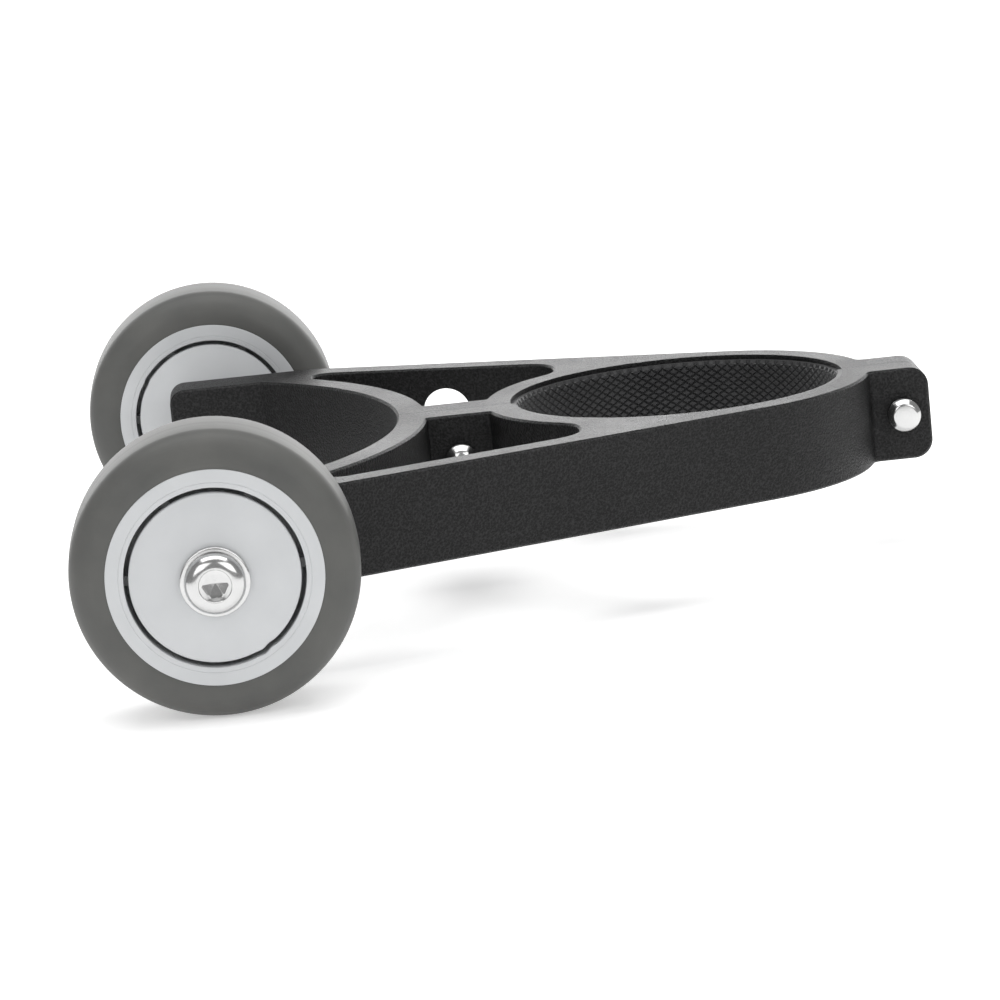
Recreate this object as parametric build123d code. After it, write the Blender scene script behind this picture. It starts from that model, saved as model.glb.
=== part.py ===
from build123d import *
import math
import os

os.makedirs("parts", exist_ok=True)

# A two-wheel carriage that clamps round a pole.
# Z is the axis of the pole, with its origin at half the frame's height.
# X points from the wheels to the clamp ear, and -Y is the right-hand side.

# Overall sizes
wheel_diameter = 50.0
wheel_width = 21.8
axle_reach = 88.0  # pole axis to wheel axle
track = 164.8  # between the middle planes of the two wheels
frame_height = 17.2

# Clamp ring and its rubber pads
grip_bore = 60.0
pad_thickness = 1.25
pad_height = 16.0
pad_end_gap = 0.7  # each pad end to the parting line
right_pad_lift = 0.5
left_pad_lift = -0.3
ring_wall = 5.0
parting_gap = 0.1  # between the two halves with the screws home

# Waist and ear, where the two halves are screwed together
waist_length = 10.85
waist_depth = 6.95
ear_length = 10.2
ear_depth = 7.6
ear_corner_radius = 3.5
ear_fold_radius = 1.4

# Side walls, arch and arms
side_wall = 5.8
arch_radius = 73.0
arch_wall = 5.6
arm_thickness = 10.2
arm_overhang = 8.0  # past the wheel axle
arm_corner_radius = 3.0
arm_straight = 20.7  # wheel axle to the bend
bend_radius = 4.0
window_end = 20.9  # pole axis to the window's end on the ring side
window_ring_round = 0.7  # corner radius as a share of the end's width, ring side
window_bend_round = 0.45  # the same at the bend
window_tip_radius = 1.5  # where the arch meets the side wall before the window's end
window_waist_radius = 0.6
edge_radius = 0.4
key_hole_diameter = 9.0

# M6 button-head screws, ISO 7380
screw_diameter = 6.0
screw_clearance = 0.05
screw_passage = 6.6
screw_tip_chamfer = 0.8
head_diameter = 10.5
head_height = 3.3
head_crown_diameter = 5.9
head_rim_height = 0.55
head_bulge = 0.64  # of the dome past the straight line from rim to crown
socket_width = 4.0
socket_depth = 2.1
ear_screw_length = 18.0
waist_screw_length = 16.0
axle_screw_length = 40.0
head_gap = 0.02  # under the head of a screw that turns
head_side_gap = 0.1  # round the head, where a wall is spot-faced for it
washer_diameter = 12.0
washer_bore = 6.4
washer_thickness = 1.6
bush_length = 3.85
bush_diameter = 12.0
axle_hole_spare = 0.8  # beyond the tip of the axle screw

# Wheel
ring_diameter = 37.3  # light hub ring seen in the tyre
ring_inner_diameter = 31.3
hub_waist_diameter = 34.0
hub_waist_width = 13.0
hub_web = 5.0
hub_boss_wall = 2.5
hub_end_recess = 2.5  # wheel face to the bearing's outer face
rib_count = 6
rib_thickness = 1.6
rib_recess = 5.4
rib_bite = 0.2  # of each rib end into the rim and the boss
tyre_shoulder_radius = 3.6
tyre_crown = 0.25

# Covers, which stand still while the hub turns round them
cover_diameter = 29.3
cover_thickness = 1.5
cover_rise = 2.4
cover_boss_diameter = 8.0
cover_land_spare = 0.3  # flat land past the edge of the washer
cover_edge_break = 0.3

# Ball bearings, type 696
bearing_bore = 6.0
bearing_diameter = 15.0
bearing_width = 5.0
inner_ring_diameter = 8.3
outer_ring_bore = 12.7
ball_diameter = 2.38
ball_count = 8
groove_clearance = 0.04
hub_step_bore = 13.4
spacer_diameter = 8.0
axle_clearance = 0.1

# Places that follow
half_height = frame_height / 2
bore_radius = grip_bore / 2
seat_radius = bore_radius + pad_thickness
ring_radius = seat_radius + ring_wall
waist_x = -(ring_radius + waist_length / 2)
ear_x = ring_radius + ear_length / 2
arch_apex = -(ring_radius + waist_length + arch_wall)
arch_x = arch_apex - arch_radius
arm_end = -(axle_reach + arm_overhang)
bend_x = -axle_reach + arm_straight
wheel_face = wheel_width / 2
cover_face = wheel_face + cover_rise
wheel_y = track / 2
arm_outer = wheel_y - cover_face - bush_length
arm_inner = arm_outer - arm_thickness
bearing_face = wheel_face - hub_end_recess
bearing_inner_face = bearing_face - bearing_width
axle_head_seat = cover_face + washer_thickness
axle_tip = axle_screw_length - axle_head_seat - (wheel_y - arm_outer)
far = 4 * axle_reach  # past every edge of the frame
past = 1.0  # how far a cut runs past the face it opens
near = 0.01  # two places this close are the same


def disc(x, radius):
    return Pos(x, 0) * Circle(radius)


def box_area(x_low, x_high, y_low, y_high):
    middle = Pos((x_low + x_high) / 2, (y_low + y_high) / 2)
    return middle * Rectangle(x_high - x_low, y_high - y_low)


def side_line():
    """Ends of the side wall's outer edge: the bend, and where it meets the ring."""
    reach = math.hypot(bend_x, arm_outer)
    angle = math.atan2(arm_outer, bend_x) - math.acos(ring_radius / reach)
    normal = Vector(math.cos(angle), math.sin(angle))
    return Vector(bend_x, arm_outer), normal * ring_radius, normal


def corner_near(sketch, x, y):
    return sketch.vertices().sort_by_distance((x, y, 0))[0]


def outline():
    bend, touch, _ = side_line()
    body = make_face(
        Polyline(
            (arm_end, 0),
            (arm_end, arm_outer),
            (bend.X, bend.Y),
            (touch.X, touch.Y),
            (0, 0),
            close=True,
        )
    )
    ear = box_area(0, ring_radius + ear_length, 0, ear_depth)
    body = body + disc(0, ring_radius) + ear
    between_arms = disc(arch_x, arch_radius) + box_area(
        arm_end - arch_radius, arch_x, -far, far
    )
    between_arms = between_arms & box_area(-far, far, -far, arm_inner)
    body = body - between_arms - disc(0, seat_radius)
    body = body & box_area(-far, far, parting_gap / 2, far)
    fold_x = math.sqrt(ring_radius**2 - ear_depth**2)
    body = fillet(corner_near(body, fold_x, ear_depth), ear_fold_radius)
    return fillet(corner_near(body, bend.X, bend.Y), bend_radius)


def window():
    bend, touch, normal = side_line()
    along = (touch - bend).normalized()
    low = bend - normal * side_wall - along * far
    high = touch - normal * side_wall + along * far
    beyond = normal * far
    wall_area = make_face(
        Polyline(
            (low.X, low.Y),
            (high.X, high.Y),
            (high.X + beyond.X, high.Y + beyond.Y),
            (low.X + beyond.X, low.Y + beyond.Y),
            close=True,
        )
    )
    area = box_area(bend_x, -window_end, waist_depth, far)
    area = area - wall_area - disc(0, ring_radius) - disc(arch_x, arch_radius + arch_wall)
    waist_corners = area.vertices().filter_by(lambda v: v.Y < waist_depth + near)
    area = fillet(waist_corners, window_waist_radius)
    for end, share in ((0, window_bend_round), (-1, window_ring_round)):
        corners = area.vertices().group_by(Axis.X)[end]
        radius = window_tip_radius
        if len(corners) > 1:
            radius = share * abs(corners[0].Y - corners[1].Y)
        area = fillet(corners, radius)
    return area


def y_hole(x, y_low, y_high, diameter):
    """A round bar along Y at half the frame's height."""
    bar = Cylinder(diameter / 2, y_high - y_low, rotation=(90, 0, 0))
    return Pos(x, (y_low + y_high) / 2, 0) * bar


def frame_half():
    """One half of the frame, on the +Y side, before its holes."""
    area = outline() - window()
    half = extrude(area, frame_height)
    half = Pos(0, 0, -half_height) * half
    across = half.edges().filter_by(Axis.Y)
    half = fillet(across.group_by(Axis.X)[0], arm_corner_radius)
    across = half.edges().filter_by(Axis.Y)
    half = fillet(across.group_by(Axis.X)[-1], ear_corner_radius)
    return half


def rounded_rims(half):
    """Breaks the long outer rims, away from the parting line and the ring's seat."""
    rims = []
    for edge in half.edges():
        middle = edge @ 0.5
        box = edge.bounding_box()
        level = box.size.Z < near and abs(abs(middle.Z) - half_height) < near
        at_parting = box.max.Y < parting_gap
        at_seat = abs(math.hypot(middle.X, middle.Y) - seat_radius) < near
        if level and not at_parting and not at_seat:
            rims.append(edge)
    return chamfer(rims, edge_radius)


def grip_pad(lift):
    ring = Circle(seat_radius) - Circle(bore_radius)
    ring = ring & box_area(-far, far, pad_end_gap, far)
    return Pos(0, 0, lift - pad_height / 2) * extrude(ring, pad_height)


def turned(points):
    """A solid turned about Y from points (radius, y)."""
    area = make_face(Polyline(*points, close=True))
    return revolve(area, Axis.Y)


def button_screw(length):
    """A button-head screw, with its shank along -Y and its head's seat at Y = 0."""
    shank = screw_diameter / 2
    tip = shank - screw_tip_chamfer
    head = head_diameter / 2
    crown = head_crown_diameter / 2
    profile = make_face(
        Polyline((0, head_height), (0, -length), (tip, -length))
        + Polyline((tip, -length), (shank, screw_tip_chamfer - length), (shank, 0))
        + Polyline((shank, 0), (head, 0), (head, head_rim_height))
        + SagittaArc((head, head_rim_height), (crown, head_height), -head_bulge)
        + Line((crown, head_height), (0, head_height))
    )
    screw = revolve(profile, Axis.Y)
    socket = extrude(RegularPolygon(socket_width / 2, 6, major_radius=False), socket_depth)
    socket = Pos(0, head_height, 0) * Rot(90, 0, 0) * socket
    return screw - socket


def collar(inner_diameter, outer_diameter, y_low, y_high):
    """A plain ring about Y."""
    return turned(
        [
            (inner_diameter / 2, y_low),
            (outer_diameter / 2, y_low),
            (outer_diameter / 2, y_high),
            (inner_diameter / 2, y_high),
        ]
    )


def tyre():
    """Moulded round the hub, which a waist in the hub's rim holds in place."""
    ring = ring_diameter / 2
    neck = hub_waist_diameter / 2
    half_neck = hub_waist_width / 2
    outer = wheel_diameter / 2
    flat = wheel_face - tyre_shoulder_radius
    shoulder = outer - tyre_crown
    corner = tyre_shoulder_radius * math.sqrt(0.5)
    side = shoulder - tyre_shoulder_radius
    edge = Polyline(
        (ring, wheel_face),
        (ring, half_neck),
        (neck, half_neck),
        (neck, -half_neck),
        (ring, -half_neck),
        (ring, -wheel_face),
        (side, -wheel_face),
    )
    lower = ThreePointArc(
        (side, -wheel_face), (side + corner, -flat - corner), (shoulder, -flat)
    )
    crown = ThreePointArc((shoulder, -flat), (outer, 0), (shoulder, flat))
    upper = ThreePointArc(
        (shoulder, flat), (side + corner, flat + corner), (side, wheel_face)
    )
    close = Line((side, wheel_face), (ring, wheel_face))
    return revolve(make_face(edge + lower + crown + upper + close), Axis.Y)


def hub():
    ring = ring_diameter / 2
    rim = ring_inner_diameter / 2
    neck = hub_waist_diameter / 2
    half_neck = hub_waist_width / 2
    seat = bearing_diameter / 2
    boss = seat + hub_boss_wall
    step = hub_step_bore / 2
    half_web = hub_web / 2
    upper = [
        (step, 0),
        (step, bearing_inner_face),
        (seat, bearing_inner_face),
        (seat, bearing_face),
        (boss, bearing_face),
        (boss, half_web),
        (rim, half_web),
        (rim, wheel_face),
        (ring, wheel_face),
        (ring, half_neck),
        (neck, half_neck),
    ]
    lower = [(radius, -y) for radius, y in reversed(upper[1:])]
    body = turned(upper + lower)
    rib_reach = rim - boss + 2 * rib_bite
    rib_middle = (rim + boss) / 2
    rib_width = 2 * (wheel_face - rib_recess)
    rib = Pos(rib_middle, 0, 0) * Box(rib_reach, rib_width, rib_thickness)
    for number in range(rib_count):
        body = body + Rot(0, number * 360 / rib_count, 0) * rib
    return body


def cover():
    """Dished disc that shields the bearing, with a boss that rests on its inner ring."""
    rim = cover_diameter / 2
    land = washer_diameter / 2 + cover_land_spare
    boss = cover_boss_diameter / 2
    hole = washer_bore / 2
    profile = [
        (hole, cover_face),
        (land, cover_face),
        (rim - cover_edge_break, wheel_face),
        (rim, wheel_face - cover_edge_break),
        (rim, wheel_face - cover_thickness),
        (land, cover_face - cover_thickness),
        (boss, cover_face - cover_thickness),
        (boss, bearing_face),
        (hole, bearing_face),
    ]
    return turned(profile)


def raceway():
    groove = ball_diameter / 2 + groove_clearance
    pitch = (inner_ring_diameter + outer_ring_bore) / 4
    return Rot(90, 0, 0) * Torus(pitch, groove)


def bearing_parts():
    """Outer ring, inner ring and balls of one bearing, centred on Y = 0."""
    half = bearing_width / 2
    outer = collar(outer_ring_bore, bearing_diameter, -half, half) - raceway()
    inner = collar(bearing_bore + 2 * axle_clearance, inner_ring_diameter, -half, half)
    inner = inner - raceway()
    pitch = (inner_ring_diameter + outer_ring_bore) / 4
    balls = []
    for number in range(ball_count):
        turn = Rot(0, number * 360 / ball_count, 0)
        balls.append(turn * Pos(pitch, 0, 0) * Sphere(ball_diameter / 2))
    return outer, inner, Compound(balls)


def wheel_parts():
    """Every piece of one wheel, with its outer face towards +Y."""
    bearing_middle = (bearing_face + bearing_inner_face) / 2
    outer_ring, inner_ring, balls = bearing_parts()
    shield = cover()
    spacer_bore = bearing_bore + 2 * axle_clearance
    pieces = {
        "tyre": tyre(),
        "hub": hub(),
        "outer_cover": shield,
        "inner_cover": Rot(180, 0, 0) * shield,
        "bearing_spacer": collar(
            spacer_bore, spacer_diameter, -bearing_inner_face, bearing_inner_face
        ),
        "axle_washer": collar(washer_bore, washer_diameter, cover_face, axle_head_seat),
        "axle_screw": Pos(0, axle_head_seat, 0) * button_screw(axle_screw_length),
        "axle_bush": collar(
            washer_bore, bush_diameter, -cover_face - bush_length, -cover_face
        ),
    }
    for place, side in (("outer", 1), ("inner", -1)):
        shift = Pos(0, side * bearing_middle, 0)
        pieces[place + "_bearing_outer_ring"] = shift * outer_ring
        pieces[place + "_bearing_inner_ring"] = shift * inner_ring
        pieces[place + "_bearing_balls"] = shift * balls
    return pieces


def right_frame_half():
    """The half on the -Y side, threaded for the two clamp screws."""
    half = mirror(rounded_rims(frame_half()), Plane.XZ)
    thread = screw_diameter + 2 * screw_clearance
    half = half - y_hole(waist_x, -2 * waist_depth, past, thread)
    half = half - y_hole(ear_x, -2 * ear_depth, past, thread)
    return half - axle_hole(-1)


def left_frame_half():
    """The half on the +Y side, with clear holes and a hole for the key."""
    half = rounded_rims(frame_half())
    spot_face = head_diameter + 2 * head_side_gap
    for x, depth in ((waist_x, waist_depth), (ear_x, ear_depth)):
        half = half - y_hole(x, -past, depth + past, screw_passage)
        half = half - y_hole(x, depth, depth + 2 * head_height, spot_face)
    half = half - y_hole(waist_x, 3 * waist_depth, far, key_hole_diameter)
    return half - axle_hole(1)


def axle_hole(side):
    """Blind threaded hole in an arm's outer face."""
    depth = axle_tip + axle_hole_spare
    ends = sorted((side * (arm_outer - depth), side * (arm_outer + past)))
    return y_hole(-axle_reach, ends[0], ends[1], screw_diameter + 2 * screw_clearance)


def write(name, shape):
    shape.label = name
    export_step(shape, "parts/" + name + ".step")


write("right_frame_half", right_frame_half())
write("left_frame_half", left_frame_half())
write("left_grip_pad", grip_pad(left_pad_lift))
write("right_grip_pad", mirror(grip_pad(right_pad_lift), Plane.XZ))
for screw_name, screw_x, depth, length in (
    ("ear_screw", ear_x, ear_depth, ear_screw_length),
    ("waist_screw", waist_x, waist_depth, waist_screw_length),
):
    write(screw_name, Pos(screw_x, depth + head_gap, 0) * button_screw(length))
for piece_name, piece in wheel_parts().items():
    left = Pos(-axle_reach, wheel_y, 0) * piece
    write("left_" + piece_name, left)
    write("right_" + piece_name, mirror(left, Plane.XZ))
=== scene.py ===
import bmesh
import bpy
import math
from mathutils import Matrix, Vector


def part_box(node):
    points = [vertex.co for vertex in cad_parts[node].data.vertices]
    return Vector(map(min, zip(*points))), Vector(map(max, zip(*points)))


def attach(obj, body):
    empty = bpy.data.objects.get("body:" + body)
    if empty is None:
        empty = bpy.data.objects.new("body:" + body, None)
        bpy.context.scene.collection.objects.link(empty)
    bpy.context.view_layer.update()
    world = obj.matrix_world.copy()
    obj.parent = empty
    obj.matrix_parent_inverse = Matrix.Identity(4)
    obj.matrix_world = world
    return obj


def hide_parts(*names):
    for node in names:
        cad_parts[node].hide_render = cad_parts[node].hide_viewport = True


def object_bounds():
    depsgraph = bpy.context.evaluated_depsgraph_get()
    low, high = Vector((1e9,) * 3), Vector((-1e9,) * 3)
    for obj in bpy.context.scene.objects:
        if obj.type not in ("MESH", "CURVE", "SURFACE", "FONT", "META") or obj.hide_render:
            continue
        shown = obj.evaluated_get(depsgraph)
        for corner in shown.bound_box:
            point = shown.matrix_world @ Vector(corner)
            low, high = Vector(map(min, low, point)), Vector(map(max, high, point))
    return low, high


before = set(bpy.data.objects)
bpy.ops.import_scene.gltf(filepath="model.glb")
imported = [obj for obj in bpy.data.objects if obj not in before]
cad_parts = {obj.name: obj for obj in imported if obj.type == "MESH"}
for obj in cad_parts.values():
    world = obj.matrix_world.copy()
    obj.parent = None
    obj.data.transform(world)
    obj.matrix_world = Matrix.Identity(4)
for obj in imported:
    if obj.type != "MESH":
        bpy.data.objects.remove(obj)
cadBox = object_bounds()
print("frame loaded")

mm = 0.001

# points closer than weld are merged, shorter edges than sliver go, and touch is the room for a match
weld = 0.0005 * mm
sliver = 0.0002 * mm
touch = 0.001 * mm


# where the CAD puts things

def middleOf(node):
    low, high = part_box(node)
    return (low + high) / 2


def radiusOf(node):
    low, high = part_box(node)
    return (high.z - low.z) / 2


def faceFromWheel(node, side, outer=True):
    # distance along the axle from the middle of the wheel to one end of a node
    low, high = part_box(node)
    wheelY = middleOf(side + "_tyre").y
    ends = sorted((abs(low.y) - abs(wheelY), abs(high.y) - abs(wheelY)))
    return ends[1] if outer else ends[0]


# shader node groups shared by several finishes

def newGroup(name, inputs, outputs):
    group = bpy.data.node_groups.new(name, "ShaderNodeTree")
    for label, kind, value in inputs:
        socket = group.interface.new_socket(name=label, in_out="INPUT", socket_type=kind)
        socket.default_value = value
    for label, kind in outputs:
        group.interface.new_socket(name=label, in_out="OUTPUT", socket_type=kind)
    return group, group.nodes.new("NodeGroupInput"), group.nodes.new("NodeGroupOutput")


def addNode(tree, kind, settings=None, values=None):
    node = tree.nodes.new(kind)
    for name, value in (settings or {}).items():
        setattr(node, name, value)
    for name, value in (values or {}).items():
        node.inputs[name].default_value = value
    return node


def addMath(tree, operation, first, second=None):
    node = addNode(tree, "ShaderNodeMath", {"operation": operation})
    for index, value in enumerate((first, second)):
        if value is None:
            continue
        if isinstance(value, (int, float)):
            node.inputs[index].default_value = value
        else:
            tree.links.new(value, node.inputs[index])
    return node.outputs[0]


def addRange(tree, value, low, high, newLow, newHigh):
    node = addNode(tree, "ShaderNodeMapRange", {"clamp": True})
    for index, number in ((1, low), (2, high), (3, newLow), (4, newHigh)):
        node.inputs[index].default_value = number
    tree.links.new(value, node.inputs[0])
    return node.outputs[0]


grainShape = {
    # cells for each grain across, and their height beside the fine noise
    "cellShare": 0.7,
    "pitShare": 0.6,
    # the part of the noise that makes the rings
    "ringSpan": (0.35, 0.65),
}


def makeBlastedGrain():
    # pitted surface: small pits for the bump and broad patches for tone
    group, given, result = newGroup(
        "blastedGrain",
        [
            ("Grain Size", "NodeSocketFloat", 0.4 * mm),
            ("Patch Size", "NodeSocketFloat", 20.0 * mm),
        ],
        [("Height", "NodeSocketFloat"), ("Patches", "NodeSocketFloat")],
    )
    place = addNode(group, "ShaderNodeTexCoord")
    fine = addNode(group, "ShaderNodeTexNoise", values={"Detail": 3.0, "Roughness": 0.6})
    cells = addNode(group, "ShaderNodeTexVoronoi", {"feature": "SMOOTH_F1"}, {"Smoothness": 0.6})
    broad = addNode(group, "ShaderNodeTexNoise", values={"Detail": 4.0, "Roughness": 0.55})
    for node in (fine, cells, broad):
        group.links.new(place.outputs["Object"], node.inputs["Vector"])
    grainScale = addMath(group, "DIVIDE", 1.0, given.outputs["Grain Size"])
    group.links.new(grainScale, fine.inputs["Scale"])
    cellScale = addMath(group, "MULTIPLY", grainScale, grainShape["cellShare"])
    group.links.new(cellScale, cells.inputs["Scale"])
    patchScale = addMath(group, "DIVIDE", 1.0, given.outputs["Patch Size"])
    group.links.new(patchScale, broad.inputs["Scale"])
    pits = addMath(group, "MULTIPLY", cells.outputs["Distance"], grainShape["pitShare"])
    height = addMath(group, "ADD", fine.outputs[0], pits)
    group.links.new(height, result.inputs["Height"])
    group.links.new(broad.outputs[0], result.inputs["Patches"])
    return group


def makeTurnedGrain():
    # fine rings about an axle along Y, as turning and moulding leave them
    group, given, result = newGroup(
        "turnedGrain",
        [
            ("Axle X", "NodeSocketFloat", 0.0),
            ("Axle Z", "NodeSocketFloat", 0.0),
            ("Ring Size", "NodeSocketFloat", 0.3 * mm),
        ],
        [("Height", "NodeSocketFloat"), ("Rings", "NodeSocketFloat")],
    )
    place = addNode(group, "ShaderNodeTexCoord")
    apart = addNode(group, "ShaderNodeSeparateXYZ")
    group.links.new(place.outputs["Object"], apart.inputs[0])
    acrossX = addMath(group, "SUBTRACT", apart.outputs["X"], given.outputs["Axle X"])
    acrossZ = addMath(group, "SUBTRACT", apart.outputs["Z"], given.outputs["Axle Z"])
    together = addMath(
        group, "ADD", addMath(group, "POWER", acrossX, 2.0), addMath(group, "POWER", acrossZ, 2.0)
    )
    radius = addMath(group, "SQRT", together)
    rings = addNode(group, "ShaderNodeCombineXYZ")
    group.links.new(radius, rings.inputs["X"])
    group.links.new(apart.outputs["Y"], rings.inputs["Y"])
    fine = addNode(group, "ShaderNodeTexNoise", values={"Detail": 2.0, "Roughness": 0.7})
    group.links.new(rings.outputs[0], fine.inputs["Vector"])
    ringScale = addMath(group, "DIVIDE", 1.0, given.outputs["Ring Size"])
    group.links.new(ringScale, fine.inputs["Scale"])
    group.links.new(fine.outputs[0], result.inputs["Height"])
    share = addRange(group, fine.outputs[0], *grainShape["ringSpan"], 0.0, 1.0)
    group.links.new(share, result.inputs["Rings"])
    return group


wearShape = {
    "reach": 0.35 * mm,
    # cosine of the turn away from the face, from no wear to full wear
    "turnFromTo": (0.995, 0.86),
    "noiseFromTo": (0.45, 0.7),
}


def makeEdgeWear():
    # where a rounded edge would turn away from the face, broken up by noise
    group, given, result = newGroup(
        "edgeWear",
        [("Noise Size", "NodeSocketFloat", 2.0 * mm)],
        [("Mask", "NodeSocketFloat")],
    )
    rounded = addNode(group, "ShaderNodeBevel", {"samples": 4}, {"Radius": wearShape["reach"]})
    surface = addNode(group, "ShaderNodeNewGeometry")
    turn = addNode(group, "ShaderNodeVectorMath", {"operation": "DOT_PRODUCT"})
    group.links.new(rounded.outputs[0], turn.inputs[0])
    group.links.new(surface.outputs["Normal"], turn.inputs[1])
    edge = addRange(group, turn.outputs["Value"], *wearShape["turnFromTo"], 0.0, 1.0)
    place = addNode(group, "ShaderNodeTexCoord")
    broken = addNode(group, "ShaderNodeTexNoise", values={"Detail": 5.0, "Roughness": 0.7})
    group.links.new(place.outputs["Object"], broken.inputs["Vector"])
    noiseScale = addMath(group, "DIVIDE", 1.0, given.outputs["Noise Size"])
    group.links.new(noiseScale, broken.inputs["Scale"])
    patchy = addRange(group, broken.outputs[0], *wearShape["noiseFromTo"], 0.0, 1.0)
    group.links.new(addMath(group, "MULTIPLY", edge, patchy), result.inputs["Mask"])
    return group


blastedGrain = makeBlastedGrain()
turnedGrain = makeTurnedGrain()
edgeWear = makeEdgeWear()
axle = middleOf("right_tyre")
print("node groups made")


# finishes

# the part of a noise's range that is spread over a tone or a roughness
patchSpan = (0.3, 0.7)
wholeSpan = (0.0, 1.0)


def newFinish(name, settings):
    material = bpy.data.materials.new(name)
    material.use_nodes = True
    shader = material.node_tree.nodes["Principled BSDF"]
    for label, value in settings.items():
        shader.inputs[label].default_value = value
    return material, material.node_tree, shader


def placeGroup(tree, group, values=None):
    return addNode(tree, "ShaderNodeGroup", {"node_tree": group}, values)


def mixColours(tree, amount, first, second):
    node = addNode(tree, "ShaderNodeMix", {"data_type": "RGBA"})
    node.inputs[6].default_value = (*first, 1)
    node.inputs[7].default_value = (*second, 1)
    tree.links.new(amount, node.inputs[0])
    return node.outputs[2]


def addRoughness(tree, shader, value, span, roughness):
    rough = addRange(tree, value, *span, *roughness)
    tree.links.new(rough, shader.inputs["Roughness"])


def addBump(tree, shader, height, strength, distance, before=None):
    bump = addNode(tree, "ShaderNodeBump", values={"Strength": strength, "Distance": distance})
    tree.links.new(height, bump.inputs["Height"])
    if before is not None:
        tree.links.new(before, bump.inputs["Normal"])
    tree.links.new(bump.outputs[0], shader.inputs["Normal"])
    return bump.outputs[0]


blackLook = {
    "dark": (0.0008, 0.0008, 0.0009),
    "light": (0.016, 0.016, 0.0164),
    "worn": (0.050, 0.050, 0.052),
    "wornShare": 0.5,
    "toneFromTo": (0.68, 0.98),
    "roughness": (0.36, 0.44),
    "grainSize": 0.30 * mm,
    "bumpStrength": 0.8,
    "bumpDepth": 0.26 * mm,
}


def makeFrameBlack():
    material, tree, shader = newFinish("frameBlack", {"IOR": 1.5, "Specular IOR Level": 0.27})
    grain = placeGroup(tree, blastedGrain, {"Grain Size": blackLook["grainSize"]})
    wear = placeGroup(tree, edgeWear)
    tone = addRange(tree, grain.outputs["Height"], *blackLook["toneFromTo"], 0.0, 1.0)
    colour = mixColours(tree, tone, blackLook["dark"], blackLook["light"])
    worn = addNode(tree, "ShaderNodeMix", {"data_type": "RGBA"})
    worn.inputs[7].default_value = (*blackLook["worn"], 1)
    tree.links.new(colour, worn.inputs[6])
    wornAmount = addMath(tree, "MULTIPLY", wear.outputs["Mask"], blackLook["wornShare"])
    tree.links.new(wornAmount, worn.inputs[0])
    tree.links.new(worn.outputs[2], shader.inputs["Base Color"])
    addRoughness(tree, shader, grain.outputs["Patches"], patchSpan, blackLook["roughness"])
    addBump(tree, shader, grain.outputs["Height"], blackLook["bumpStrength"], blackLook["bumpDepth"])
    return material


tyreLook = {
    "dark": (0.086, 0.087, 0.084),
    "light": (0.113, 0.113, 0.107),
    "roughness": (0.44, 0.54),
    "patchSize": 15.0 * mm,
    "ringSize": 0.35 * mm,
    "ringDepth": 0.02 * mm,
    "grainSize": 0.5 * mm,
    "grainDepth": 0.012 * mm,
    "bumpStrength": 0.5,
}


def makeTyreGrey():
    material, tree, shader = newFinish("tyreGrey", {"IOR": 1.48, "Specular IOR Level": 0.24})
    rings = placeGroup(
        tree, turnedGrain, {"Axle X": axle.x, "Axle Z": axle.z, "Ring Size": tyreLook["ringSize"]}
    )
    grain = placeGroup(
        tree, blastedGrain,
        {"Grain Size": tyreLook["grainSize"], "Patch Size": tyreLook["patchSize"]},
    )
    tone = addRange(tree, grain.outputs["Patches"], *patchSpan, 0.0, 1.0)
    colour = mixColours(tree, tone, tyreLook["dark"], tyreLook["light"])
    tree.links.new(colour, shader.inputs["Base Color"])
    addRoughness(tree, shader, rings.outputs["Rings"], wholeSpan, tyreLook["roughness"])
    strength = tyreLook["bumpStrength"]
    first = addBump(tree, shader, rings.outputs["Height"], strength, tyreLook["ringDepth"])
    addBump(tree, shader, grain.outputs["Height"], strength, tyreLook["grainDepth"], first)
    return material


hubLook = {
    "dark": (0.515, 0.527, 0.537),
    "light": (0.560, 0.571, 0.581),
    "roughness": (0.36, 0.44),
    "patchSize": 12.0 * mm,
    "grainSize": 0.35 * mm,
    "grainDepth": 0.006 * mm,
    "bumpStrength": 0.4,
}


def makeHubGrey():
    material, tree, shader = newFinish(
        "hubGrey", {"IOR": 1.46, "Coat Weight": 0.08, "Coat Roughness": 0.3}
    )
    grain = placeGroup(
        tree, blastedGrain,
        {"Grain Size": hubLook["grainSize"], "Patch Size": hubLook["patchSize"]},
    )
    tone = addRange(tree, grain.outputs["Patches"], *patchSpan, 0.0, 1.0)
    colour = mixColours(tree, tone, hubLook["dark"], hubLook["light"])
    tree.links.new(colour, shader.inputs["Base Color"])
    addRoughness(tree, shader, grain.outputs["Patches"], patchSpan, hubLook["roughness"])
    addBump(tree, shader, grain.outputs["Height"], hubLook["bumpStrength"], hubLook["grainDepth"])
    return material


padLook = {
    "dark": (0.010, 0.010, 0.011),
    "light": (0.022, 0.022, 0.023),
    "roughness": (0.42, 0.56),
    "patchSize": 10.0 * mm,
    "grainSize": 0.25 * mm,
    "grainDepth": 0.01 * mm,
    "bumpStrength": 0.4,
}


def makePadBlack():
    material, tree, shader = newFinish("padBlack", {"IOR": 1.5, "Sheen Weight": 0.08})
    grain = placeGroup(
        tree, blastedGrain,
        {"Grain Size": padLook["grainSize"], "Patch Size": padLook["patchSize"]},
    )
    colour = mixColours(tree, grain.outputs["Patches"], padLook["dark"], padLook["light"])
    tree.links.new(colour, shader.inputs["Base Color"])
    addRoughness(tree, shader, grain.outputs["Patches"], patchSpan, padLook["roughness"])
    addBump(tree, shader, grain.outputs["Height"], padLook["bumpStrength"], padLook["grainDepth"])
    return material


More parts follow.
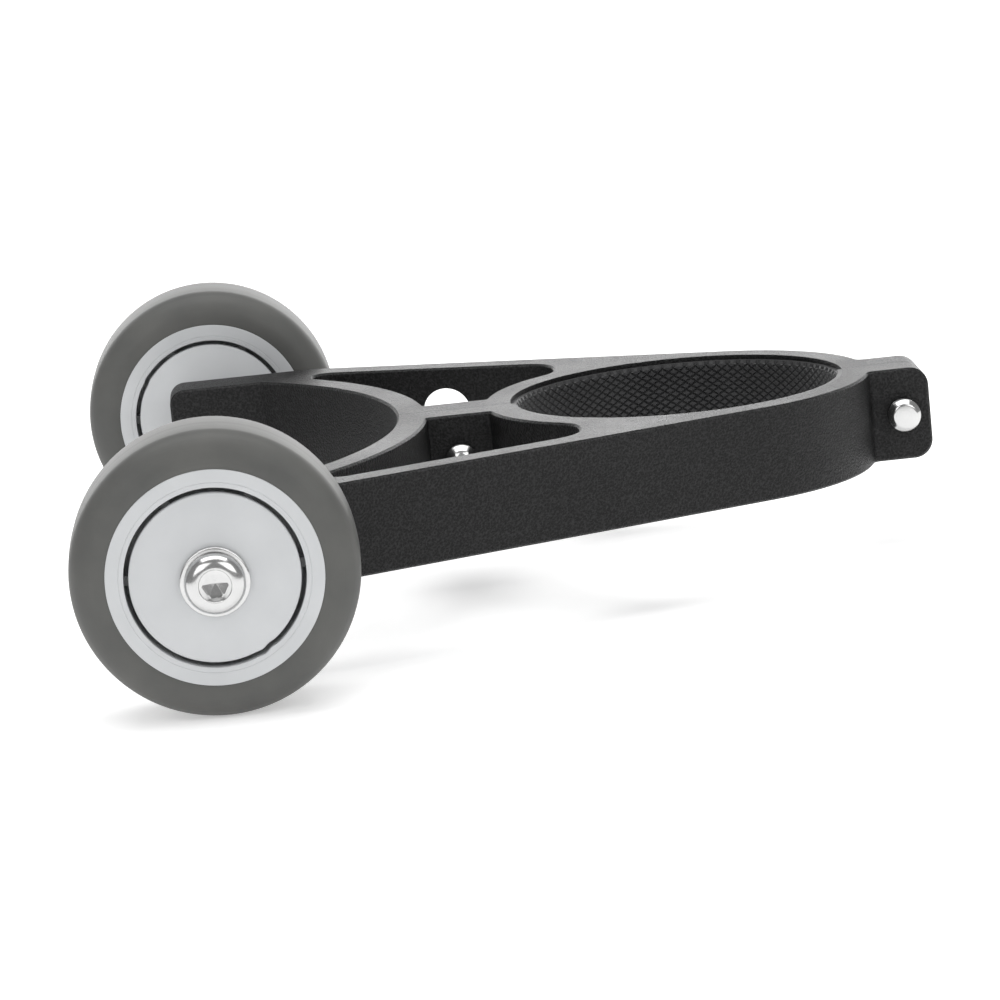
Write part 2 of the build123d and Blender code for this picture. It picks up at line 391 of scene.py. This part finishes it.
screwLook = {
    "dark": (0.54, 0.54, 0.54),
    "light": (0.66, 0.66, 0.655),
    "roughness": (0.12, 0.24),
    "patchSize": 3.0 * mm,
    "ringSize": 0.12 * mm,
    "ringDepth": 0.006 * mm,
    "ringStrength": 0.5,
    "grainSize": 0.3 * mm,
    "grainDepth": 0.010 * mm,
    "grainStrength": 0.4,
}


def makeScrewSteel(name, centre):
    # polished stainless, with faint turning rings about the screw's own axis
    look = screwLook
    material, tree, shader = newFinish(name, {"Metallic": 1.0})
    rings = placeGroup(
        tree, turnedGrain, {"Axle X": centre.x, "Axle Z": centre.z, "Ring Size": look["ringSize"]}
    )
    grain = placeGroup(
        tree, blastedGrain, {"Grain Size": look["grainSize"], "Patch Size": look["patchSize"]}
    )
    colour = mixColours(tree, grain.outputs["Patches"], look["dark"], look["light"])
    tree.links.new(colour, shader.inputs["Base Color"])
    addRoughness(tree, shader, rings.outputs["Rings"], wholeSpan, look["roughness"])
    first = addBump(tree, shader, rings.outputs["Height"], look["ringStrength"], look["ringDepth"])
    addBump(tree, shader, grain.outputs["Height"], look["grainStrength"], look["grainDepth"], first)
    return material


bearingLook = {
    "dark": (0.58, 0.58, 0.58),
    "light": (0.66, 0.66, 0.65),
    "roughness": (0.22, 0.34),
    "ringSize": 0.1 * mm,
    "ringDepth": 0.004 * mm,
    "ringStrength": 0.4,
}


def makeBearingSteel():
    look = bearingLook
    material, tree, shader = newFinish("bearingSteel", {"Metallic": 1.0})
    rings = placeGroup(
        tree, turnedGrain, {"Axle X": axle.x, "Axle Z": axle.z, "Ring Size": look["ringSize"]}
    )
    colour = mixColours(tree, rings.outputs["Rings"], look["dark"], look["light"])
    tree.links.new(colour, shader.inputs["Base Color"])
    addRoughness(tree, shader, rings.outputs["Rings"], wholeSpan, look["roughness"])
    addBump(tree, shader, rings.outputs["Height"], look["ringStrength"], look["ringDepth"])
    return material


frameBlack = makeFrameBlack()
tyreGrey = makeTyreGrey()
hubGrey = makeHubGrey()
padBlack = makePadBlack()
axleSteel = makeScrewSteel("axleSteel", axle)
bearingSteel = makeBearingSteel()
print("finishes made")

for node in ("right_frame_half", "left_frame_half"):
    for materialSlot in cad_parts[node].material_slots:
        materialSlot.material = frameBlack
for node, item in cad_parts.items():
    if "bearing" in node:
        for materialSlot in item.material_slots:
            materialSlot.material = bearingSteel


# tools for turned pieces

sharpAngles = {"turned": 32, "tyre": 50, "screw": 28, "pad": 20}


def newPiece(bm, name, node, body, material, sharpAngle=sharpAngles["turned"]):
    # finishes a piece: clean mesh, outward faces, and its place in the frame
    bmesh.ops.remove_doubles(bm, verts=bm.verts, dist=weld)
    bmesh.ops.dissolve_degenerate(bm, edges=bm.edges, dist=sliver)
    bmesh.ops.recalc_face_normals(bm, faces=bm.faces)
    mesh = bpy.data.meshes.new(name)
    bm.to_mesh(mesh)
    bm.free()
    mesh.shade_smooth()
    mesh.set_sharp_from_angle(angle=math.radians(sharpAngle))
    mesh.materials.append(material)
    piece = bpy.data.objects.new(name, mesh)
    bpy.context.collection.objects.link(piece)
    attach(piece, body)
    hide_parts(node)


def drawProfile(bm, corners):
    # a closed outline in radius (X) and axle distance (Y); a corner is (radius, y, rounding, segments)
    verts = [bm.verts.new((corner[0], corner[1], 0)) for corner in corners]
    bm.faces.new(verts)
    for vert, corner in zip(verts, corners):
        if len(corner) > 2:
            bmesh.ops.bevel(
                bm, geom=[vert], offset=corner[2], offset_type="OFFSET", segments=corner[3],
                profile=0.5, affect="VERTICES", material=-1, clamp_overlap=True,
            )
    bmesh.ops.delete(bm, geom=bm.faces[:], context="FACES_ONLY")


def spinProfile(bm, steps):
    bmesh.ops.spin(
        bm, geom=bm.verts[:] + bm.edges[:], cent=(0, 0, 0), axis=(0, 1, 0),
        angle=math.tau, steps=steps, use_merge=True,
    )
    bmesh.ops.remove_doubles(bm, verts=bm.verts, dist=weld)


def setOnAxle(bm, centre, sign):
    # from the Y axis at the origin to its axle, mirrored for the right-hand side
    if sign < 0:
        bmesh.ops.scale(bm, vec=(1, -1, 1), verts=bm.verts)
    bmesh.ops.translate(bm, vec=centre, verts=bm.verts)


def turnedPiece(corners, steps):
    bm = bmesh.new()
    drawProfile(bm, corners)
    spinProfile(bm, steps)
    return bm


# tyres

tyreShape = {
    "steps": 160,
    "shoulder": 5.0 * mm,
    "crown": 0.22 * mm,
    "crownRounding": 2.0 * mm,
    "neckDepth": 1.65 * mm,
    "neckWidth": 13.0 * mm,
    "innerEdge": 0.10 * mm,
}


def makeTyre(side, sign):
    outer = radiusOf(side + "_tyre")
    half = faceFromWheel(side + "_tyre", side)
    ring = radiusOf(side + "_hub")
    neck = ring - tyreShape["neckDepth"]
    halfNeck = tyreShape["neckWidth"] / 2
    shoulder = outer - tyreShape["crown"]
    corners = [
        (neck, -halfNeck), (ring, -halfNeck), (ring, -half, tyreShape["innerEdge"], 3),
        (shoulder, -half, tyreShape["shoulder"], 14), (outer, 0, tyreShape["crownRounding"], 3),
        (shoulder, half, tyreShape["shoulder"], 14),
        (ring, half, tyreShape["innerEdge"], 3), (ring, halfNeck), (neck, halfNeck),
    ]
    bm = turnedPiece(corners, tyreShape["steps"])
    setOnAxle(bm, middleOf(side + "_tyre"), sign)
    angle = sharpAngles["tyre"]
    newPiece(bm, side + "Tyre", side + "_tyre", side + "_wheel", tyreGrey, angle)


# hubs, with the light ring inside the tyre

hubShape = {
    "steps": 160,
    "faceRise": 0.12 * mm,
    "gap": 0.85 * mm,
    "web": 5.0 * mm,
    "bossWall": 2.5 * mm,
    "stepBore": 6.7 * mm,
    "innerEdge": 0.15 * mm,
    "outerEdge": 0.12 * mm,
    "seatEdge": 0.2 * mm,
    "bossEdge": 0.3 * mm,
    "webFillet": 1.0 * mm,
    "lineWidth": 0.16 * mm,
    "lineDepth": 0.07 * mm,
    "linePlace": 0.80 * mm,
    "ribs": 6,
    "ribThickness": 1.6 * mm,
    "ribDrop": 5.4 * mm,
    "ribOverlap": 0.4 * mm,
    "kinkReach": (-0.1 * mm, 0.6 * mm),
}

# a small step in the edges of the gap, out on one side of its place and in on the other
kinkShape = {
    "size": 0.16 * mm,
    "span": math.radians(4.0),
    "angles": {"right": math.radians(-60), "left": math.radians(146)},
    "shares": {"right": 1.0, "left": 0.5},
    # makes the curve's highest point equal to the size
    "peak": 2.33,
    # how far in from the wheel's face it reaches
    "depth": 2.0 * mm,
}


def kinkShift(angle, middle):
    turn = (angle - middle + math.pi) % math.tau - math.pi
    share = turn / kinkShape["span"]
    return -kinkShape["size"] * kinkShape["peak"] * share * math.exp(-share * share)


def kinkRim(bm, side, lowRadius, highRadius, minimumY, bothFaces):
    for vert in bm.verts:
        radius = math.hypot(vert.co.x, vert.co.z)
        level = abs(vert.co.y) if bothFaces else vert.co.y
        if lowRadius < radius < highRadius and level > minimumY:
            angle = math.atan2(vert.co.z, vert.co.x)
            shift = kinkShift(angle, kinkShape["angles"][side]) * kinkShape["shares"][side]
            scale = (radius + shift) / radius
            vert.co.x *= scale
            vert.co.z *= scale


def makeHub(side, sign):
    ring = radiusOf(side + "_hub")
    half = faceFromWheel(side + "_hub", side)
    rim = radiusOf(side + "_outer_cover") + hubShape["gap"]
    seat = radiusOf(side + "_outer_bearing_outer_ring")
    boss = seat + hubShape["bossWall"]
    bearingFace = faceFromWheel(side + "_outer_bearing_outer_ring", side)
    bearingEnd = faceFromWheel(side + "_outer_bearing_outer_ring", side, outer=False)
    halfNeck = tyreShape["neckWidth"] / 2
    neck = ring - tyreShape["neckDepth"]
    face = half + hubShape["faceRise"]
    halfWeb = hubShape["web"] / 2
    line = rim + hubShape["linePlace"]
    width = hubShape["lineWidth"]
    upper = [
        (hubShape["stepBore"], bearingEnd), (seat, bearingEnd),
        (seat, bearingFace, hubShape["seatEdge"], 2), (boss, bearingFace, hubShape["bossEdge"], 2),
        (boss, halfWeb, hubShape["webFillet"], 4), (rim, halfWeb, hubShape["webFillet"], 4),
        (rim, face, hubShape["innerEdge"], 4),
        (line, face), (line + width / 2, face - hubShape["lineDepth"]), (line + width, face),
        (ring, face, hubShape["outerEdge"], 4), (ring, halfNeck), (neck, halfNeck),
    ]
    lower = [(corner[0], -corner[1], *corner[2:]) for corner in reversed(upper)]
    bm = turnedPiece(upper + lower, hubShape["steps"])
    low, high = (rim + reach for reach in hubShape["kinkReach"])
    kinkRim(bm, side, low, high, half - kinkShape["depth"], True)
    for number in range(hubShape["ribs"]):
        turn = Matrix.Rotation(number * math.tau / hubShape["ribs"], 4, "Y")
        place = turn @ Matrix.Translation(((rim + boss) / 2, 0, 0))
        size = Matrix.Diagonal((
            rim - boss + hubShape["ribOverlap"], 2 * (half - hubShape["ribDrop"]),
            hubShape["ribThickness"], 1,
        ))
        bmesh.ops.create_cube(bm, size=1.0, matrix=place @ size)
    setOnAxle(bm, middleOf(side + "_hub"), sign)
    newPiece(bm, side + "Hub", side + "_hub", side + "_wheel", hubGrey)


# covers that shield the bearings

coverShape = {
    "steps": 160,
    "hole": 3.2 * mm,
    "land": 6.3 * mm,
    "thickness": 1.5 * mm,
    "boss": 4.0 * mm,
    "rimEdge": 0.28 * mm,
    "backEdge": 0.2 * mm,
    "landEdge": 0.5 * mm,
    "kinkReach": (-0.9 * mm, 0.1 * mm),
}


def makeCover(side, sign, place):
    node = side + "_" + place + "_cover"
    rim = radiusOf(node)
    half = faceFromWheel(side + "_tyre", side)
    low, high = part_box(node)
    depth = high.y - low.y
    if place == "outer":
        face = faceFromWheel(node, side)
        facing = sign
    else:
        face = -faceFromWheel(node, side, outer=False)
        facing = -sign
    thick = coverShape["thickness"]
    corners = [
        (coverShape["hole"], face), (coverShape["land"], face, coverShape["landEdge"], 3),
        (rim, half, coverShape["rimEdge"], 5), (rim, half - thick, coverShape["backEdge"], 2),
        (coverShape["land"], face - thick), (coverShape["boss"], face - thick),
        (coverShape["boss"], face - depth), (coverShape["hole"], face - depth),
    ]
    bm = turnedPiece(corners, coverShape["steps"])
    low, high = (rim + reach for reach in coverShape["kinkReach"])
    kinkRim(bm, side, low, high, half - kinkShape["depth"], False)
    setOnAxle(bm, middleOf(side + "_tyre"), facing)
    newPiece(bm, side + place.capitalize() + "Cover", node, side + "_half", hubGrey)


# button-head screws

screwShape = {
    "steps": 96,
    "head": 5.25 * mm,
    "headHeight": 3.3 * mm,
    "dome": 2.36 * mm,
    "domeFoot": 0.12 * mm,
    "crown": 2.76 * mm,
    "crownRim": 0.10 * mm,
    "crownSink": 0.12 * mm,
    "crownEdge": 0.03 * mm,
    "leadIn": 0.20 * mm,
    "hexCorner": 2.31 * mm,
    "socketDepth": 2.1 * mm,
    "drillDepth": 0.7 * mm,
    "drillRadius": 0.15 * mm,
    "shank": 3.0 * mm,
    "threadRoot": 2.5 * mm,
    "pitch": 1.0 * mm,
    "threadTurns": 7,
    # each groove's corners: how many pitches below its crest, and how deep
    "groove": ((0.46, "root"), (0.58, "root"), (0.96, "crest"), (1.06, "crest")),
    "tipFlat": 2.2 * mm,
    "tipEdge": 0.25 * mm,
    "domedTipShare": 0.8,
    "domedTipRise": 0.45 * mm,
    "domedTipEdge": 0.7 * mm,
}

# how far each screw's socket is turned
hexTurns = {"axle": math.radians(30), "ear": math.radians(12), "waist": math.radians(40)}


def makeScrew(node, name, body, centre, sign, seatY, length, hexTurn, material, domedTip):
    # built along -Y with the head's seat at Y = 0, then put on its axis
    shape = screwShape
    shank = shape["shank"]
    depths = {"root": shape["threadRoot"], "crest": shank}
    pitch = shape["pitch"]
    threadTop = -length + shape["threadTurns"] * pitch
    crownY = shape["headHeight"] - shape["crownSink"]
    corners = [
        (shape["crown"], crownY),
        (shape["crown"] + shape["crownRim"], shape["headHeight"], shape["crownEdge"], 2),
        (shape["head"], shape["headHeight"], shape["dome"], 10),
        (shape["head"], 0, shape["domeFoot"], 2), (shank, 0), (shank, threadTop),
    ]
    for number in range(shape["threadTurns"] - 1):
        crest = threadTop - number * pitch
        corners += [(depths[level], crest - drop * pitch) for drop, level in shape["groove"]]
    if domedTip:
        tipRadius = shape["domedTipShare"] * shape["tipFlat"]
        corners.append((tipRadius, -length - shape["domedTipRise"], shape["domedTipEdge"], 5))
    else:
        corners.append((shape["tipFlat"], -length, shape["tipEdge"], 3))
    corners += [(0, corners[-1][1]), (0, crownY)]
    bm = bmesh.new()
    drawProfile(bm, corners)
    # the flat top goes, so that the socket can open it
    top = [
        edge for edge in bm.edges
        if all(abs(v.co.y - crownY) < touch for v in edge.verts)
        and min(v.co.x for v in edge.verts) < touch
    ]
    axis = [edge for edge in bm.edges if max(v.co.x for v in edge.verts) < touch]
    bmesh.ops.delete(bm, geom=top + axis, context="EDGES")
    spinProfile(bm, shape["steps"])
    rimEdges = [edge for edge in bm.edges if edge.is_boundary and edge.verts[0].co.y > 0]
    lay = Matrix.Translation((0, shape["headHeight"] - shape["leadIn"], 0))
    lay = lay @ Matrix.Rotation(hexTurn, 4, "Y") @ Matrix.Rotation(math.pi / 2, 4, "X")
    hexagon = bmesh.ops.create_circle(bm, segments=6, radius=shape["hexCorner"], matrix=lay)
    hexEdges = list({edge for vert in hexagon["verts"] for edge in vert.link_edges})
    cut = bmesh.ops.subdivide_edges(bm, edges=hexEdges, cuts=shape["steps"] // 6 - 1)
    inner = [item for item in cut["geom"] if isinstance(item, bmesh.types.BMEdge)]
    hexEdges = [edge for edge in inner if edge.is_wire]
    bmesh.ops.bridge_loops(bm, edges=rimEdges + hexEdges)
    loop = [edge for edge in hexEdges if edge.is_valid]
    for drop, radius in ((shape["socketDepth"], None), (shape["drillDepth"], shape["drillRadius"])):
        grown = bmesh.ops.extrude_edge_only(bm, edges=loop)["geom"]
        verts = [item for item in grown if isinstance(item, bmesh.types.BMVert)]
        loop = [item for item in grown if isinstance(item, bmesh.types.BMEdge)]
        bmesh.ops.translate(bm, vec=(0, -drop, 0), verts=verts)
        if radius is not None:
            share = radius / shape["hexCorner"]
            bmesh.ops.scale(bm, vec=(share, 1, share), verts=verts)
    bmesh.ops.edgenet_fill(bm, edges=loop)
    bmesh.ops.translate(bm, vec=(0, seatY, 0), verts=bm.verts)
    setOnAxle(bm, centre, sign)
    newPiece(bm, name, node, body, material, sharpAngles["screw"])


# washers and bushes

collarShape = {
    "steps": 128,
    "hole": 3.2 * mm,
    "holeEdge": 0.12 * mm,
    "washerEdge": 0.3 * mm,
    "bushEdge": 0.25 * mm,
}


def makeCollar(node, name, body, sign, rounding, material):
    inner = collarShape["hole"]
    holeEdge = collarShape["holeEdge"]
    outer = radiusOf(node)
    low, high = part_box(node)
    half = (high.y - low.y) / 2
    corners = [
        (inner, -half, holeEdge, 2), (outer, -half, rounding, 4),
        (outer, half, rounding, 4), (inner, half, holeEdge, 2),
    ]
    bm = turnedPiece(corners, collarShape["steps"])
    setOnAxle(bm, middleOf(node), sign)
    newPiece(bm, name, node, body, material)


for side, sign in (("right", -1), ("left", 1)):
    makeTyre(side, sign)
    makeHub(side, sign)
    makeCover(side, sign, "outer")
    makeCover(side, sign, "inner")
    body = side + "_half"
    seat = faceFromWheel(side + "_axle_washer", side)
    low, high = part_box(side + "_axle_screw")
    length = high.y - low.y - screwShape["headHeight"]
    makeScrew(
        side + "_axle_screw", side + "AxleScrew", body, middleOf(side + "_tyre"), sign, seat,
        length, hexTurns["axle"], axleSteel, False,
    )
    for place in ("washer", "bush"):
        makeCollar(
            side + "_axle_" + place, side + "Axle" + place.capitalize(), body, sign,
            collarShape[place + "Edge"], axleSteel,
        )
print("wheels made")

for place, domed in (("ear", False), ("waist", True)):
    node = place + "_screw"
    low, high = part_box(node)
    centre = middleOf(node)
    steel = makeScrewSteel(place + "Steel", centre)
    seatY = high.y - screwShape["headHeight"]
    length = seatY - low.y
    makeScrew(
        node, place + "Screw", place + "_screw_body", Vector((centre.x, 0, centre.z)), 1, seatY,
        length, hexTurns[place], steel, domed,
    )
print("clamp screws made")


# rubber grip pads with a diamond knurl

padShape = {
    "diamondLength": 2.1 * mm,
    "diamondHeight": 1.45 * mm,
    "inset": 0.36 * mm,
    "relief": 0.38 * mm,
    "border": 0.55 * mm,
    "bodyDepth": 0.87 * mm,
}


def makePad(side, sign):
    node = side + "_grip_pad"
    low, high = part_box(node)
    bore = (high.x - low.x) / 2 - (padShape["relief"] + padShape["bodyDepth"])
    gap = min(abs(low.y), abs(high.y))
    tall = high.z - low.z
    long = 2 * bore * (math.pi / 2 - math.asin(gap / bore))
    # diamonds laid flat: X along the arc, Y up the pad, Z towards the pole
    cells = int((long / padShape["diamondLength"] + tall / padShape["diamondHeight"]) / 2 + 2) * 2
    bm = bmesh.new()
    bmesh.ops.create_grid(bm, x_segments=cells, y_segments=cells, size=cells / 2)
    bmesh.ops.rotate(bm, cent=(0, 0, 0), matrix=Matrix.Rotation(math.pi / 4, 3, "Z"), verts=bm.verts)
    stretch = (padShape["diamondLength"] / math.sqrt(2), padShape["diamondHeight"] / math.sqrt(2), 1)
    bmesh.ops.scale(bm, vec=stretch, verts=bm.verts)
    reach = padShape["diamondLength"]
    spare = [
        face for face in bm.faces
        if abs(face.calc_center_median().x) > long / 2 + reach
        or abs(face.calc_center_median().y) > tall / 2 + reach
    ]
    bmesh.ops.delete(bm, geom=spare, context="FACES")
    bmesh.ops.inset_individual(
        bm, faces=bm.faces[:], thickness=padShape["inset"], depth=padShape["relief"],
    )
    inner = tall / 2 - padShape["border"]
    edges = (
        ((1, 0, 0), long / 2), ((-1, 0, 0), long / 2),
        ((0, 1, 0), inner), ((0, -1, 0), inner),
    )
    for normal, distance in edges:
        bmesh.ops.bisect_plane(
            bm, geom=bm.verts[:] + bm.edges[:] + bm.faces[:],
            plane_co=Vector(normal) * distance, plane_no=normal, clear_outer=True,
        )
    # plain borders above and below the knurl
    for way in (1, -1):
        rim = [
            edge for edge in bm.edges
            if edge.is_boundary and all(v.co.y * way > inner - touch for v in edge.verts)
        ]
        grown = bmesh.ops.extrude_edge_only(bm, edges=rim)["geom"]
        verts = [item for item in grown if isinstance(item, bmesh.types.BMVert)]
        bmesh.ops.translate(bm, vec=(0, way * padShape["border"], 0), verts=verts)
        for vert in verts:
            vert.co.z = 0
    back = bmesh.ops.extrude_face_region(bm, geom=bm.faces[:], use_keep_orig=True)["geom"]
    for item in back:
        if isinstance(item, bmesh.types.BMVert):
            item.co.z = -padShape["bodyDepth"]
    # rolled onto the ring's seat
    middleZ = (low.z + high.z) / 2
    for vert in bm.verts:
        angle = math.pi / 2 - vert.co.x / bore
        radius = bore + padShape["relief"] - vert.co.z
        across = radius * math.cos(angle)
        out = sign * radius * math.sin(angle)
        vert.co = Vector((across, out, middleZ + vert.co.y))
    angle = sharpAngles["pad"]
    newPiece(bm, side + "GripPad", node, side + "_half", padBlack, angle)


for side, sign in (("right", -1), ("left", 1)):
    makePad(side, sign)
print("grip pads made")


# studio: a pale floor under the wheels, soft lights, and the camera

studio = {
    "floorSize": 8.0,
    "floorDrop": 0.02 * mm,
    "floorColours": ((0.86, 0.86, 0.86), (0.88, 0.88, 0.88)),
    "background": 1.0,
    "surround": 0.32,
    "floorGlow": 0.40,
    "lights": [
        # name, place, width, height, watts
        ("topBox", (0.0, 0.15, 1.20), 1.5, 1.0, 12.5),
        ("leftBox", (-0.80, -1.10, 0.80), 1.0, 0.9, 5.0),
        ("rightBox", (0.80, -1.00, 0.80), 1.1, 0.9, 6.0),
        ("backBox", (0.10, 1.50, 0.30), 2.6, 0.8, 19.0),
    ],
}


def makeFloor():
    bm = bmesh.new()
    bmesh.ops.create_grid(bm, x_segments=1, y_segments=1, size=studio["floorSize"] / 2)
    bmesh.ops.translate(bm, vec=(0, 0, cadBox[0][2] - studio["floorDrop"]), verts=bm.verts)
    mesh = bpy.data.meshes.new("floor")
    bm.to_mesh(mesh)
    bm.free()
    material, tree, shader = newFinish("floorWhite", {"Roughness": 0.9})
    noise = addNode(tree, "ShaderNodeTexNoise", values={"Scale": 3.0})
    colour = mixColours(tree, noise.outputs[0], *studio["floorColours"])
    tree.links.new(colour, shader.inputs["Base Color"])
    shader.inputs["Emission Color"].default_value = (1, 1, 1, 1)
    shader.inputs["Emission Strength"].default_value = studio["floorGlow"]
    mesh.materials.append(material)
    floor = bpy.data.objects.new("floor", mesh)
    bpy.context.collection.objects.link(floor)


def makeLights():
    for name, place, width, height, watts in studio["lights"]:
        data = bpy.data.lights.new(name, "AREA")
        data.shape = "RECTANGLE"
        data.size = width
        data.size_y = height
        data.energy = watts
        light = bpy.data.objects.new(name, data)
        bpy.context.collection.objects.link(light)
        light.location = place
        light.rotation_euler = (-Vector(place)).to_track_quat("-Z", "Y").to_euler()
        light.visible_camera = False


def makeWorld():
    # the camera sees plain white behind everything, and a dimmer white surround lights the object
    world = bpy.data.worlds.new("studio")
    bpy.context.scene.world = world
    world.use_nodes = True
    tree = world.node_tree
    around = tree.nodes["Background"]
    around.inputs["Color"].default_value = (1, 1, 1, 1)
    around.inputs["Strength"].default_value = studio["surround"]
    behind = addNode(tree, "ShaderNodeBackground")
    behind.inputs["Color"].default_value = (1, 1, 1, 1)
    behind.inputs["Strength"].default_value = studio["background"]
    seen = addNode(tree, "ShaderNodeLightPath")
    both = addNode(tree, "ShaderNodeMixShader")
    tree.links.new(seen.outputs["Is Camera Ray"], both.inputs[0])
    tree.links.new(around.outputs[0], both.inputs[1])
    tree.links.new(behind.outputs[0], both.inputs[2])
    tree.links.new(both.outputs[0], tree.nodes["World Output"].inputs["Surface"])


makeFloor()
makeLights()
makeWorld()
bpy.context.scene.view_settings.view_transform = "Standard"
print("studio lit")

cameraSetup = {
    "place": (-0.0719, -0.92296, 0.16589),
    "turn": (79.191, 5.547, -3.345),
    "lens": 180.0,
    "sensor": 36.0,
    "farEnd": 20.0,
}
camera = bpy.data.objects.new("camera", bpy.data.cameras.new("camera"))
bpy.context.collection.objects.link(camera)
camera.location = cameraSetup["place"]
camera.rotation_euler = [math.radians(angle) for angle in cameraSetup["turn"]]
camera.data.lens = cameraSetup["lens"]
camera.data.sensor_width = cameraSetup["sensor"]
camera.data.clip_end = cameraSetup["farEnd"]
bpy.context.scene.camera = camera
print("camera set")
